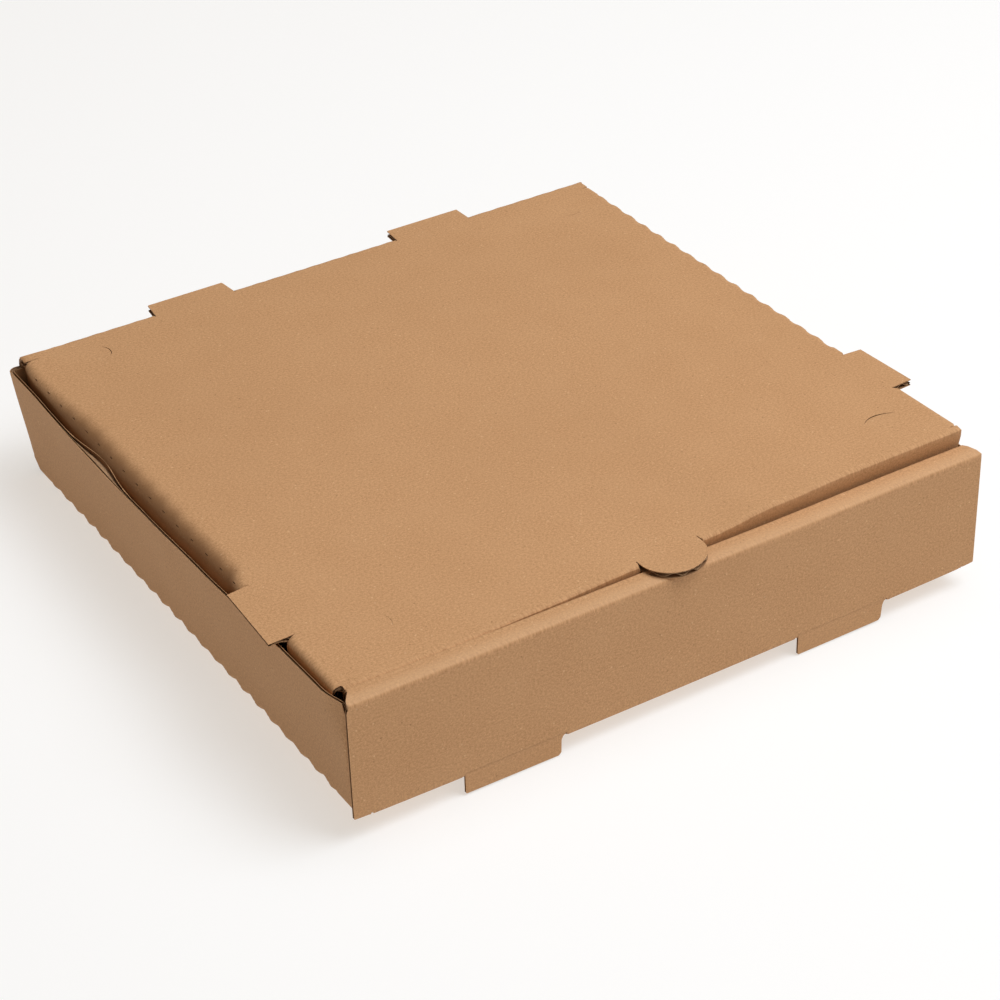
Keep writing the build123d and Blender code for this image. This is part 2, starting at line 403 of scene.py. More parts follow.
def settleTray(x, y, z, w, isWall):
    # The set that handling gives the folded board: walls bow, the front sags between its feet.
    rise = np.clip(z / box["wall height"], 0.0, 1.2) ** 1.15
    left = isWall & (x < 0)
    right = isWall & (x > 0)
    shift = ramp(y, wallBow) * rise
    shift = shift - 3.2 * smooth(z, 36, 55) * smooth(-y, 137, 153)
    # The inner liner has come away near the top of the left wall
    loose = 2.2 * bell(y, looseAt, 18) * smooth(z, 34, 54) * (w < 0)
    x = np.where(left, x - shift + loose, x)
    x = np.where(right, x + 1.2 * bell(y, 0, 90) * rise, x)
    z = np.where(right, z - 1.4 * smooth(-y, 132, 152) * np.clip(z / 54, 0, 1), z)
    z = np.where(left, z + 1.2 * smooth(y, 90, 150) * smooth(z, 20, 52), z)
    x = np.where(left, x - smooth(y, 120, 152) * smooth(z, 10, 52), x)
    # Behind, the walls reach past the back wall's ends, and in front they close on the front wall
    ends = smooth(np.abs(x), 151.0, 155.0)
    past = 3.5 * smooth(y, 128, 152.5) * ends * smooth(z, -4.0, 12.0)
    past = past - 1.9 * smooth(-y, 132, 150) * ends
    y = np.where(isWall, y + past, y)
    middle = np.clip(1 - (x / 158.5) ** 2, 0, 1) ** 0.7
    z = z - (0.45 + 1.6 * middle) * smooth(-y, 40, 156) * smooth(-z, -24, 2)
    lift = 0.8 + 0.9 * smooth(x, 40, 130)
    return x, y, z + lift * smooth(z, 20, 56) * smooth(-y, 140, 147) * (~isWall)


# Lid, flat places
sideTurn = quarter + radians(box["side flap angle"])
lidSides = foldStart(box["lid half"] - half, sideTurn, "lid")
flapTurn = quarter + radians(box["front flap angle"])
lidFold = box["lid front"] + half + bend * tan(flapTurn / 2)
frontFoldEnd = lidFold - bend * flapTurn
frontLow = lidTop - half - bend * tan(flapTurn / 2) * sin(flapTurn)
frontBottom = frontFoldEnd - (frontLow - box["flap bottom"]) / sin(flapTurn)
lidBack = backFace - outer
flapLeft = 152.2  # left end of the front flap

tabs = {
    "back": [((-86.7, -85.5), (-44.5, -45.7)), ((46.4, 47.1), (88.2, 87.8))],  # root and tip of each end
    "back tip": 165.05,
    "left": [(-64.6, -65.9), (-103.9, -104.5), (-162.6, -164.2)],  # back end, front end, tip
    "right": [(-63.9, -64.7), (-100.0, -99.2), (164.6, 165.7)],
    "thumb": (2.2, 15.0, -145.0),  # middle, radius, and where its curve starts
    "thumb lift": 0.9,
    "root": {-1: 151.6, 1: 154.0},
}


def inThumb(u, v):
    middle, radius, start = tabs["thumb"]
    d = np.where(v < start, np.hypot(u - middle, v - start), np.abs(u - middle))
    return (v < lidFold) & (d < radius + 0.2)


def inSideTab(u, v):
    out = np.zeros(u.shape, bool)
    for key, side in (("left", -1), ("right", 1)):
        (backRoot, backTip), (frontRoot, frontTip), (tipBack, tipFront) = tabs[key]
        root = tabs["root"][side]
        t = (side * u - root) / (abs(tipBack + tipFront) / 2 - root)
        high = backRoot + (backTip - backRoot) * t + 0.2
        low = frontRoot + (frontTip - frontRoot) * t - 0.2
        tip = np.interp(v, [frontTip, backTip], [abs(tipFront), abs(tipBack)])
        out |= (t > 0) & (side * u < tip + 0.2) & (v < high) & (v > low)
    return out


def foldLid(u, v, w):
    u, v, w = (np.asarray(x, float) for x in (u, v, w))
    au = np.abs(u)
    sideOf = np.where(u < 0, -1.0, 1.0)
    thumb = inThumb(u, v)
    tab = inSideTab(u, v)
    isSide = (au > bySide(u, lidSides, 0)) & (v > lidFold + 0.06) & (v < 147.4) & ~tab
    corner = smooth(-v, -lidFold - 8.0, -lidFold - 3.0) * (v > lidFold)
    w = crushed(w, 0.6 * corner * smooth(-u, flapLeft - 1.5, flapLeft + 1.5))  # the left corner, pressed thin
    a, b, _ = sideChain(u, v, w, lidSides, sideTurn, "lid")
    pressed = np.where(tab & (u < 0), crushed(w, 0.68 * smooth(-u, tabs["root"][-1] + 1.0, 160.5)), w)
    x = np.where(isSide, sideOf * a, u)
    z = np.where(isSide, lidTop - b, lidTop - half + pressed)
    isFront = (v < lidFold) & ~thumb & ~isSide
    frontRadius = folds["lid front"] * fluteRipple(u)
    a, b, _ = chain(-(v - lidFold), w, (-lidFold, half), [(flapTurn, bend, frontRadius), 200.0])
    y = np.where(isFront, -a, v)
    z = np.where(isFront, lidTop - b, z)
    return settleLid(x, y, z, isSide, isFront, thumb)


lidFront = [
    (-157, -5.5), (-110, -5.3), (-60, -4.2), (-15, -2.5), (21, -1.2),
    (57, 2.0), (97, 3.5), (130, 3.8), (157, 3.8),
]
lidBow = [(-110, 0.0), (-67, 0.0), (-35, 1.2), (0, 2.2), (50, 2.7), (105, 2.4), (135, 2.2), (152, 0.6)]
lidDents = [  # x, y, how wide, how long and how deep
    (-112, -122, 7, 6, 0.35),
    (-125, 137, 5, 5, 0.3),
    (136, -115, 7, 5, 0.45),
    (134, 131, 7, 5, 0.4),
]


def settleLid(x, y, z, isSide, isFront, thumb):
    # The lid sinks at its front left corner and stands proud at the right.
    across = np.clip(x, -156.5, 156.5)
    along = np.clip(y, -145.25, 153.0)
    reach = np.clip((153.0 - along) / 298.0, 0, 1) ** 1.5
    z = z + ramp(across, lidFront) * reach
    x = np.where(x < -120, x - ramp(y, lidBow) * smooth(-x, 120, 157), x)
    x = np.where(isSide & (x > 0), x + 0.5 * smooth(x, 140, 155) * smooth(y, -60, -50), x)
    y = y - 0.5 * smooth(-x, 30, 110) * smooth(-y, 100, 145)
    z = z - 1.5 * smooth(-x, 146, 155) * smooth(-y, 138, 146)
    z = z + smooth(-x, 125, 157) * smooth(y, 110, 153)
    z = np.where(thumb, z + tabs["thumb lift"] * smooth(-y, 141, 160), z)
    for atX, atY, wide, long, deep in lidDents:
        z = z - deep * bell(x, atX, wide) * bell(y, atY, long) * (~isSide & ~isFront)
    return x, y, z


def subdivide(points):
    out = []
    for (ax, ay), (bx, by) in zip(points, points[1:] + points[:1]):
        count = max(1, int(hypot(bx - ax, by - ay) / board["edge step"] + 0.5))
        for i in range(count):
            t = i / count
            out.append((ax + (bx - ax) * t, ay + (by - ay) * t))
    return out


def rounded(points, steps=4):
    # Rounds every corner of a cut outline a little, as a steel rule leaves it.
    out = []
    n = len(points)
    for i in range(n):
        p, a, b = (np.array(points[j % n], float) for j in (i, i - 1, i + 1))
        da = np.linalg.norm(a - p)
        db = np.linalg.norm(b - p)
        r = min(board["corner"], da * 0.45, db * 0.45)
        p0 = p + (a - p) / da * r
        p1 = p + (b - p) / db * r
        for k in range(steps + 1):
            t = k / steps
            out.append(tuple((1 - t) ** 2 * p0 + 2 * t * (1 - t) * p + t * t * p1))
    return out


def inside(points, loops):
    # Even-odd test of points against closed loops.
    edges = np.vstack([np.hstack([loop, np.roll(loop, -1, axis=0)]) for loop in loops])
    x1, y1, x2, y2 = edges[edges[:, 1] != edges[:, 3]].T
    out = np.zeros(len(points), bool)
    for start in range(0, len(points), 3000):
        px = points[start : start + 3000, 0:1]
        py = points[start : start + 3000, 1:2]
        cross = (y1 > py) != (y2 > py)
        hit = px < (x2 - x1) * (py - y1) / (y2 - y1) + x1
        out[start : start + 3000] = (np.count_nonzero(cross & hit, axis=1) % 2) == 1
    return out


def fillBlank(loops, rows):
    # Points inside the loops: rows along the folds, and an even grid over the flats.
    border = np.array([p for loop in loops for p in loop])
    fine = []
    for u0, u1, v0, v1, du, dv in rows:
        us = np.linspace(u0, u1, max(2, round((u1 - u0) / du) + 1))
        vs = np.linspace(v0, v1, max(2, round((v1 - v0) / dv) + 1))
        fine.append(np.array([(a, b) for a in us for b in vs]))
    fine = np.vstack(fine)
    grid = board["grid"]
    low = border.min(0)
    high = border.max(0)
    us = np.arange(low[0] + grid / 2, high[0], grid)
    vs = np.arange(low[1] + grid / 2, high[1], grid)
    coarse = np.array([(a, b) for a in us for b in vs])
    keep = np.ones(len(coarse), bool)
    u, v = coarse[:, 0], coarse[:, 1]
    for u0, u1, v0, v1, _, _ in rows:
        keep &= ~((u > u0 - 2) & (u < u1 + 2) & (v > v0 - 2) & (v < v1 + 2))
    coarse = coarse[keep]

    def clear(points, gap):
        # Drops points too close to the border, cell by cell.
        cells = {}
        for i, (a, b) in enumerate(border):
            cells.setdefault((int(a // 4), int(b // 4)), []).append(i)
        good = []
        for p in points:
            ci, cj = int(p[0] // 4), int(p[1] // 4)
            near = [k for di in (-1, 0, 1) for dj in (-1, 0, 1) for k in cells.get((ci + di, cj + dj), ())]
            if not near or ((border[near] - p) ** 2).sum(1).min() > gap * gap:
                good.append(p)
        return np.array(good)

    fine = clear(fine[inside(fine, loops)], 0.32)
    coarse = clear(coarse[inside(coarse, loops)], 1.6)
    points = np.vstack([border, fine, coarse])
    edges = []
    at = 0
    for loop in loops:
        n = len(loop)
        edges += [(at + i, at + (i + 1) % n) for i in range(n)]
        at += n
    made = delaunay_2d_cdt([Vector(p) for p in points], edges, [], 0, 1e-5)
    verts = np.array([tuple(p) for p in made[0]])
    tris = np.array([f for f in made[2] if len(f) == 3])
    tris = tris[inside(verts[tris].mean(1), loops)]
    a, b, c = verts[tris[:, 0]], verts[tris[:, 1]], verts[tris[:, 2]]
    area = (b[:, 0] - a[:, 0]) * (c[:, 1] - a[:, 1]) - (b[:, 1] - a[:, 1]) * (c[:, 0] - a[:, 0])
    tris = np.where((area < 0)[:, None], tris[:, ::-1], tris)
    used = np.unique(tris)
    renumber = np.full(len(verts), -1)
    renumber[used] = np.arange(len(used))
    return verts[used], renumber[tris]


def cutLines(verts, tris):
    # Directed border edges of the filled blank, and each border point's inward direction.
    seen = {}
    for t in tris:
        for i in range(3):
            seen[(t[i], t[(i + 1) % 3])] = True
    edges = [e for e in seen if (e[1], e[0]) not in seen]
    inward = {}
    for a, b in edges:
        d = verts[b] - verts[a]
        n = np.array([-d[1], d[0]]) / (np.linalg.norm(d) + 1e-12)
        for k in (a, b):
            inward[k] = inward.get(k, np.zeros(2)) + n
    for k in inward:
        inward[k] = inward[k] / (np.linalg.norm(inward[k]) + 1e-12)
    return edges, inward


def newObject(name, data):
    made = bpy.data.objects.new(name, data)
    bpy.context.scene.collection.objects.link(made)
    return made


def addUv(mesh, flat):
    # The flat place on the blank, in metres, so patterns follow the sheet round its folds.
    layer = mesh.uv_layers.new(name="Blank")
    index = np.zeros(len(mesh.loops), np.int32)
    mesh.loops.foreach_get("vertex_index", index)
    layer.data.foreach_set("uv", (flat[index] / mm).astype(np.float32).ravel())


def addValue(mesh, name, values):
    layer = mesh.attributes.new(name, "FLOAT", "POINT")
    layer.data.foreach_set("value", np.asarray(values, np.float32))


def pieceOf(name, mesh, flat, corner):
    # Adds the flat places, smooths all but the corners sharper than the angle, and makes the object.
    addUv(mesh, flat)
    mesh.shade_smooth()
    mesh.set_sharp_from_angle(angle=radians(corner))
    return newObject(name, mesh)


def buildBoard(name, loops, rows, plain, fold, creaseAndPaintedLightOf):
    # Fills a blank, gives it two liners and grooved cut edges, folds it, and makes the object.
    verts, tris = fillBlank(loops, rows)
    edges, inward = cutLines(verts, tris)
    n = len(verts)
    border = sorted(inward)
    slot = {k: i for i, k in enumerate(border)}
    m = len(border)
    spot = verts[border]
    depth = np.where(plain(spot), 0.06, board["flute depth"])
    into = np.array([inward[k] for k in border])
    deep = spot + into * depth[:, None]
    rim = half - board["liner"]
    flat = np.vstack([verts, verts, spot, deep, deep, spot])
    w = np.repeat([half, -half, rim, rim, -rim, -rim], [n, n, m, m, m, m])
    faces = [tuple(t) for t in tris] + [tuple(n + t[::-1]) for t in tris]
    base = 2 * n
    for a, b in edges:
        sa, sb = slot[a], slot[b]
        rings = [(a, b)]
        rings += [(base + k * m + sa, base + k * m + sb) for k in range(4)]
        rings += [(n + a, n + b)]
        for (p0, p1), (q0, q1) in zip(rings[:-1], rings[1:]):
            faces.append((p1, p0, q0, q1))
    x, y, z = fold(flat[:, 0], flat[:, 1], w)
    mesh = bpy.data.meshes.new(name)
    mesh.from_pydata((np.stack([x, y, z], 1) / mm).tolist(), [], faces)
    mesh.validate()
    liner = np.where(w > half - 0.01, 1.0, np.where(w < -half + 0.01, -1.0, 0.0))
    addValue(mesh, "Liner", liner)
    # Crease marks the folds; the second value is painted shade where positive and painted light where
    # negative.
    crease, paintedShadeAndLight = creaseAndPaintedLightOf(flat[:, 0], flat[:, 1])
    addValue(mesh, "Crease", crease)
    addValue(mesh, "PaintedShadeAndLight", paintedShadeAndLight)
    obj = pieceOf(name, mesh, flat, 38)
    strip = [(a, b) for a, b in edges if depth[slot[a]] > 1 and depth[slot[b]] > 1]
    print(name, n, "points,", len(faces), "faces")
    return obj, (spot, into, slot, strip)


class Wire:
    # A socket with arithmetic: each operator adds a Math node.
    def __init__(self, nodes, socket):
        self.nodes = nodes
        self.socket = socket

    def maths(self, operation, *values):
        return self.nodes.node("ShaderNodeMath", {"operation": operation}, dict(enumerate(values)))

    def __add__(self, other):
        return self.maths("ADD", self, other)

    def __mul__(self, other):
        return self.maths("MULTIPLY", self, other)

    def __truediv__(self, other):
        return self.maths("DIVIDE", self, other)


class Nodes:
    # A node tree whose nodes are added by type, settings and socket values.
    def __init__(self, tree):
        self.tree = tree

    def node(self, kind, settings=None, sockets=None, output=0):
        made = self.tree.nodes.new(kind)
        for key, value in (settings or {}).items():
            setattr(made, key, value)
        for key, value in (sockets or {}).items():
            self.plug(made.inputs[key], value)
        return Wire(self, made.outputs[output])

    def plug(self, socket, value):
        if isinstance(value, Wire):
            self.tree.links.new(value.socket, socket)
        else:
            socket.default_value = value

    def out(self, wire, output):
        # Another output of the node that a wire comes from.
        return Wire(self, wire.socket.node.outputs[output])


def flutingTree():
    # Geometry Nodes: waves a flat strip of paper through the board and gives it its thickness.
    tree = bpy.data.node_groups.new("Fluting", "GeometryNodeTree")
    face = tree.interface
    face.new_socket("Strip", in_out="INPUT", socket_type="NodeSocketGeometry")
    for label in ("Pitch", "Height", "Paper"):
        face.new_socket(label, in_out="INPUT", socket_type="NodeSocketFloat")
    face.new_socket("Finish", in_out="INPUT", socket_type="NodeSocketMaterial")
    face.new_socket("Fluting", in_out="OUTPUT", socket_type="NodeSocketGeometry")
    g = Nodes(tree)
    strip = g.node("NodeGroupInput", None, None, "Strip")
    pitch, height, paper, finish = (g.out(strip, label) for label in ("Pitch", "Height", "Paper", "Finish"))
    u = g.node("ShaderNodeSeparateXYZ", None, {0: g.node("GeometryNodeInputPosition")}, "X")
    wave = g.node("ShaderNodeMath", {"operation": "SINE"}, {0: u / pitch * (2 * pi)})
    offset = g.node("ShaderNodeCombineXYZ", None, {"Z": wave * height})
    lifted = g.node("GeometryNodeSetPosition", None, {"Geometry": strip, "Offset": offset})
    sockets = {"Individual": False, "Mesh": lifted, "Offset Scale": paper}
    thick = g.node("GeometryNodeExtrudeMesh", {"mode": "FACES"}, sockets, "Mesh")
    under = g.node("GeometryNodeFlipFaces", None, {"Mesh": lifted})
    both = g.node("GeometryNodeJoinGeometry", None, {0: thick})
    g.plug(both.socket.node.inputs[0], under)
    welded = g.node("GeometryNodeMergeByDistance", None, {"Distance": 0.004, "Geometry": both})
    real = g.node("GeometryNodeRealizeInstances", None, {0: welded})
    dressed = g.node("GeometryNodeSetMaterial", None, {"Geometry": real, "Material": finish})
    g.plug(tree.nodes.new("NodeGroupOutput").inputs[0], dressed)
    return tree


def buildFluting(name, edgeData, fold, tree, finish):
    # A narrow strip behind each cut edge, waved by the tree while flat, then folded with the board.
    spot, into, slot, strip = edgeData
    ids = sorted({k for e in strip for k in e})
    place = {k: i for i, k in enumerate(ids)}
    outerRow = np.array([spot[slot[k]] + into[slot[k]] * 0.22 for k in ids])
    innerRow = np.array([spot[slot[k]] + into[slot[k]] * (board["flute depth"] + 0.05) for k in ids])
    flat = np.vstack([outerRow, innerRow])
    m = len(ids)
    faces = [(place[a], place[b], m + place[b], m + place[a]) for a, b in strip]
    mesh = bpy.data.meshes.new(name + "Flat")
    mesh.from_pydata([(p[0], p[1], 0.0) for p in flat], [], faces)
    mesh.validate()
    obj = newObject(name + "Flat", mesh)
    modifier = obj.modifiers.new("Fluting", "NODES")
    modifier.node_group = tree
    values = {
        "Pitch": board["flute pitch"],
        "Height": half - board["liner"] - board["flute paper"] / 2 - 0.05,
        "Paper": board["flute paper"],
        "Finish": finish,
    }
    for item in tree.interface.items_tree:
        if item.in_out == "INPUT" and item.name in values:
            modifier[item.identifier] = values[item.name]
    bpy.context.view_layer.update()
    graph = bpy.context.evaluated_depsgraph_get()
    waved = bpy.data.meshes.new_from_object(obj.evaluated_get(graph))
    obj.modifiers.remove(modifier)
    bpy.data.objects.remove(obj)
    co = np.zeros(len(waved.vertices) * 3)
    waved.vertices.foreach_get("co", co)
    co = co.reshape(-1, 3)
    x, y, z = fold(co[:, 0], co[:, 1], co[:, 2])
    waved.vertices.foreach_set("co", (np.stack([x, y, z], 1) / mm).astype(np.float32).ravel())
    waved.name = name
    waved.update()
    print(name, len(waved.polygons), "faces")
    return pieceOf(name, waved, co[:, :2], 45)


class Finish(Nodes):
    # A material, by its Principled shader.
    def __init__(self, name):
        self.material = bpy.data.materials.new(name)
        self.material.use_nodes = True
        super().__init__(self.material.node_tree)
        self.shader = self.tree.nodes["Principled BSDF"]

    def dress(self, values):
        for key, value in values.items():
            self.plug(self.shader.inputs[key], value)
        return self.material

    def mix(self, factor, a, b):
        settings = {"data_type": "RGBA", "blend_type": "MIX"}
        return self.node("ShaderNodeMix", settings, {0: factor, 6: a, 7: b}, 2)

    def noise(self, coords, scale, detail=2.0, rough=0.5, stretch=None):
        if stretch is not None:
            coords = self.node("ShaderNodeMapping", None, {"Vector": coords, "Scale": stretch})
        sockets = {"Vector": coords, "Scale": scale, "Detail": detail, "Roughness": rough}
        return self.node("ShaderNodeTexNoise", None, sockets)

    def value(self, name):
        # A value stored on the mesh.
        return self.node("ShaderNodeAttribute", {"attribute_name": name}, None, "Fac")

    def bump(self, height, strength):
        sockets = {"Height": height, "Strength": strength, "Distance": 0.0003}
        return self.node("ShaderNodeBump", None, sockets)

    def between(self, value, low, high, a=0.0, b=1.0):
        sockets = {"Value": value, "From Min": low, "From Max": high, "To Min": a, "To Max": b}
        return self.node("ShaderNodeMapRange", {"clamp": True}, sockets)


kraft = {
    "liner": (0.630, 0.356, 0.176, 1),
    "pale fibre": (0.76, 0.50, 0.29, 1),
    "dark fibre": (0.20, 0.095, 0.04, 1),
    "shade": (0.395, 0.203, 0.088, 1),
    "worn": (0.62, 0.365, 0.190, 1),
    "inside": (0.50, 0.285, 0.14, 1),
    # The next colour darkens cut edges: partly the raw edge's own colour, partly painted shade in the open
    # flute grooves.
    "cut": (0.20, 0.105, 0.05, 1),
    # The next colour is painted shade: it darkens the lid's left roll and its flap, where the crevice by the
    # wall shades them.
    "painted roll shade": (0.21, 0.095, 0.035, 1),  # the lid's left roll
    # The next colour is painted light: it makes the shelf paler than the lid, as if more light fell on it.
    "painted shelf light": (0.66, 0.41, 0.235, 1),  # the shelf
    "grain": 1000.0,
    "fine grain": 2300.0,
    "grain stretch": (0.85, 1.0, 1.0),  # fibres lie mostly across the flutes
    "band scale": 6.94445,
    "speck scale": 520.0,
    "specks": 0.55,
    "roughness": 0.78,
    "bump": 0.07,
    "specular": 0.25,
}


def kraftFinish():
    f = Finish("kraftBoard")
    blank = f.node("ShaderNodeUVMap", {"uv_map": "Blank"})
    fine = f.noise(blank, kraft["fine grain"], 2.0, 0.6, kraft["grain stretch"])
    grain = f.noise(blank, kraft["grain"], 3.0, 0.6, kraft["grain stretch"])
    cloud = f.noise(blank, 42.0, 3.0, 0.55)
    broad = f.noise(blank, 9.0, 2.0, 0.5)
    mottle = f.between(grain * 0.5 + fine * 0.5, 0.36, 0.64)
    base = f.mix(mottle, kraft["shade"], kraft["liner"])
    base = f.mix(f.between(cloud, 0.35, 0.7, 0.0, 0.14), base, kraft["worn"])
    base = f.mix(f.between(broad, 0.38, 0.66, 0.0, 0.12), base, kraft["shade"])
    # Pale and dark fibre specks
    sockets = {"Vector": blank, "Scale": kraft["speck scale"], "Randomness": 1.0}
    speck = f.node("ShaderNodeTexVoronoi", {"feature": "F1"}, sockets)
    chance = f.node("ShaderNodeSeparateColor", None, {"Color": f.out(speck, "Color")})
    dot = f.between(speck, 0.10, 0.26, 1.0, 0.0)
    dark = dot * f.between(chance, 0.955, 0.965) * kraft["specks"]
    pale = dot * f.between(f.out(chance, 1), 0.93, 0.94) * kraft["specks"]
    base = f.mix(dark, base, kraft["dark fibre"])
    base = f.mix(pale, base, kraft["pale fibre"])
    # Faint broad bands run along the flutes
    wave = {"wave_type": "BANDS", "bands_direction": "X", "wave_profile": "SIN"}
    sockets = {"Vector": blank, "Scale": kraft["band scale"]}
    sockets.update({"Distortion": 0.6, "Detail": 1.0, "Detail Scale": 12.0})
    bands = f.node("ShaderNodeTexWave", wave, sockets)
    base = f.mix(bands * 0.03, base, kraft["shade"])
    # The inside liner is duller. Cut edges and their flute grooves are darkened: partly the raw edge's own
    # colour, partly painted shade in the grooves
    liner = f.value("Liner")
    base = f.mix(f.between(liner, -1.0, -0.9, 0.6, 0.0), base, kraft["inside"])
    either = f.node("ShaderNodeMath", {"operation": "ABSOLUTE"}, {0: liner})
    base = f.mix(f.between(either, 0.0, 0.9, 0.75, 0.0), base, kraft["cut"])
    worn = f.between(f.value("Crease"), 0.86, 1.0) * f.between(grain, 0.42, 0.62)
    base = f.mix(worn * 0.1, base, kraft["worn"])
    # Painted shade darkens the lid's left roll, and painted light makes the shelf paler
    paintedShadeAndLight = f.value("PaintedShadeAndLight")
    base = f.mix(f.between(paintedShadeAndLight, 0.0, 1.0, 0.0, 0.74), base, kraft["painted roll shade"])
    base = f.mix(f.between(paintedShadeAndLight, -1.0, 0.0, 0.55, 0.0), base, kraft["painted shelf light"])
    height = grain * 0.5 + fine * 0.3 + bands * 0.25
    return f.dress({
        "Base Color": base,
        "Roughness": f.between(grain, 0.3, 0.7, kraft["roughness"] - 0.06, kraft["roughness"] + 0.08),
        "Normal": f.bump(height, kraft["bump"]),
        "Specular IOR Level": kraft["specular"],
    })


# The fluting's colours are set dark: partly the medium paper's own colour, partly painted shade inside the
# flute grooves.
fluting = {
    "dark": (0.27, 0.15, 0.078, 1),
    "pale": (0.42, 0.26, 0.14, 1),
    "patch": (0.5, 0.32, 0.19, 1),
    "bump": 0.15,
    "specular": 0.2,
}


def flutingFinish():
    f = Finish("flutingPaper")
    blank = f.node("ShaderNodeUVMap", {"uv_map": "Blank"})
    grain = f.noise(blank, 700.0, 4.0, 0.6, (1.0, 0.4, 1.0))
    patch = f.noise(blank, 90.0, 2.0, 0.5)
    base = f.mix(f.between(grain, 0.35, 0.65), fluting["dark"], fluting["pale"])
    return f.dress({
        "Base Color": f.mix(f.between(patch, 0.4, 0.7, 0.0, 0.4), base, fluting["patch"]),
        "Roughness": f.between(grain, 0.3, 0.7, 0.8, 0.95),
        "Normal": f.bump(grain, fluting["bump"]),
        "Specular IOR Level": fluting["specular"],
    })


def perforationLoops(u, low, high, width, cut):
    # Knife cuts along a side fold, thin slots in the flat blank.
    loops = []
    for i in range(perforation["count"]):
        v = firstCut + i * perforation["pitch"]
        a, b, w = v - cut / 2, v + cut / 2, width / 2
        if a >= low and b <= high:
            right = [(u, a), (u + w, a + 0.5), (u + w, v), (u + w, b - 0.5)]
            loops.append(right + [(u, b), (u - w, b - 0.5), (u - w, v), (u - w, a + 0.5)])
    return loops


def mirrored(points):
    return [(-a, b) for a, b in points[::-1]]


trayCuts = {
    "lock tab": (61.5, 106.8, 2.8),  # its two ends, and how far it reaches past the inner wall
    "front ear": 58.0,
    "back ear": 56.0,
    "ear taper": 6.0,
    "shelf ends": {-1: (153.4, 156.7), 1: (157.4, 158.6)},  # at its inner and outer edge
}


def traySideOutline(side):
    # One half of the tray's outline from front to back, drawn as the right half.
    inner, front = box["inner half"], box["front half"]
    begin = traySide[side][0]
    gap = begin + board["kerf"] / 2
    low, high, top = earLow[side], wallU(50, side), wallU(box["wall height"], side)
    highBack = high if side > 0 else wallU(55, side)
    shelfIn, shelfOut = trayCuts["shelf ends"][side]
    tabA, tabB, tabDrop = trayCuts["lock tab"]
    taper = trayCuts["ear taper"]
    earFront = -wallRun - earFold - trayCuts["front ear"]
    earBack = wallRun + earFold + trayCuts["back ear"]
    outline = [
        (tabA, innerEnd), (tabA, innerEnd - tabDrop), (tabB, innerEnd - tabDrop), (tabB, innerEnd),
        (inner, innerEnd), (inner, innerStart - 1.0), (shelfIn, shelfEnd - 0.6), (shelfOut, shelfStart),
        (front, frontTop), (front, frontWall + outer - 1.1), (gap + 0.1, frontWall + outer - 0.95),
        (gap + 0.06, frontWall + 1.6), (gap - 0.06, frontWall + 1.6), (gap - 0.06, frontFold + 0.37),
        (begin, frontFold + 0.35), (low - 0.5, frontFold + 0.35), (low, frontFold - 1.2),
        (low + 5.5, earFront), (high - taper, earFront), (high, -wallRun - earFold), (high, -wallRun - 0.4),
        (top, -wallRun + 0.8), (top, wallRun - 60), (top + 1.0, wallRun - 30), (top + 2.2, wallRun - 0.8),
        (highBack, wallRun + 0.4), (highBack, wallRun + earFold), (highBack - taper, earBack),
        (low + 5.5, earBack), (low, backFold + 1.2), (low - 0.6, backFold - 2.4),
        (begin + 3.4, backFold - 4.6), (begin + 0.5, backFold - 8.5), (begin - 0.1, backFold - 0.35),
        (backHalf, backFold + 0.1), (backHalf, backWall + 50.5), (box["lid half"], backWall + 51.2),
        (box["lid half"], backTop),
    ]
    (rootA, _), (rootB, _) = tabs["back"][1]
    low = backTop - 5.7
    return outline + [(rootB + 0.7, backTop), (rootB + 0.3, low), (rootA - 0.3, low), (rootA - 0.7, backTop)]


def trayLoops():
    kerf = board["kerf"]
    outline = traySideOutline(1) + mirrored(traySideOutline(-1))
    loops = [subdivide(rounded(outline))]
    for key in ("left", "right"):
        a = foot[key][0]
        down, across = footRight(key)
        edge = list(zip(across, down))
        edge[0] = (edge[0][0], footRoot)
        end = footTip + kerf + foot["slot"]
        tongue = [(a, footRoot), (a, footTip - 0.4), (a + 0.5, footTip), (edge[3][0] - 1.2, footTip)]
        tongue += edge[3::-1]
        slot = [(p + kerf, q) for p, q in edge[:3]]
        slot += [(edge[2][0] + kerf, end), (a - kerf, end), (a - kerf, footRoot)]
        loops.append(subdivide(tongue + slot))
    for side in (1, -1):
        begin, end, _ = traySide[side]
        reach = wallRun - 3.5
        width = perforation["tray width"]
        loops += perforationLoops(side * (begin + end) / 2, -reach, reach, width, perforation["cut"])
    return loops


def trayRows():
    span = wallRun + 3.2
    rows = []
    for side in (1, -1):
        begin, end, _ = traySide[side]
        a, b = sorted((side * begin, side * end))
        rows.append((a, b, -span, span, 0.36, perforation["pitch"] / 8))
        for sign in (1, -1):
            a, b = sorted((side * (earLow[side] + 0.5), side * wallU(box["wall height"], side)))
            c, d = sorted((sign * wallRun, sign * (wallRun + earFold)))
            rows.append((a, b, c, d, 3.0, 0.62))
    for v0, v1, reach, radius in (
        (frontWall, frontFold, traySide[1][0], folds["front"]),
        (shelfStart, frontTop, box["front half"], folds["shelf"]),
        (innerStart, shelfEnd, box["inner half"] + 4, folds["inner"]),
        (backFold, backWall, backHalf, folds["back"]),
    ):
        for a, b, step in arcRows(v0, v1, radius, quarter):
            rows.append((-reach, reach, a, b, board["flute pitch"] / 6, step))
    return rows


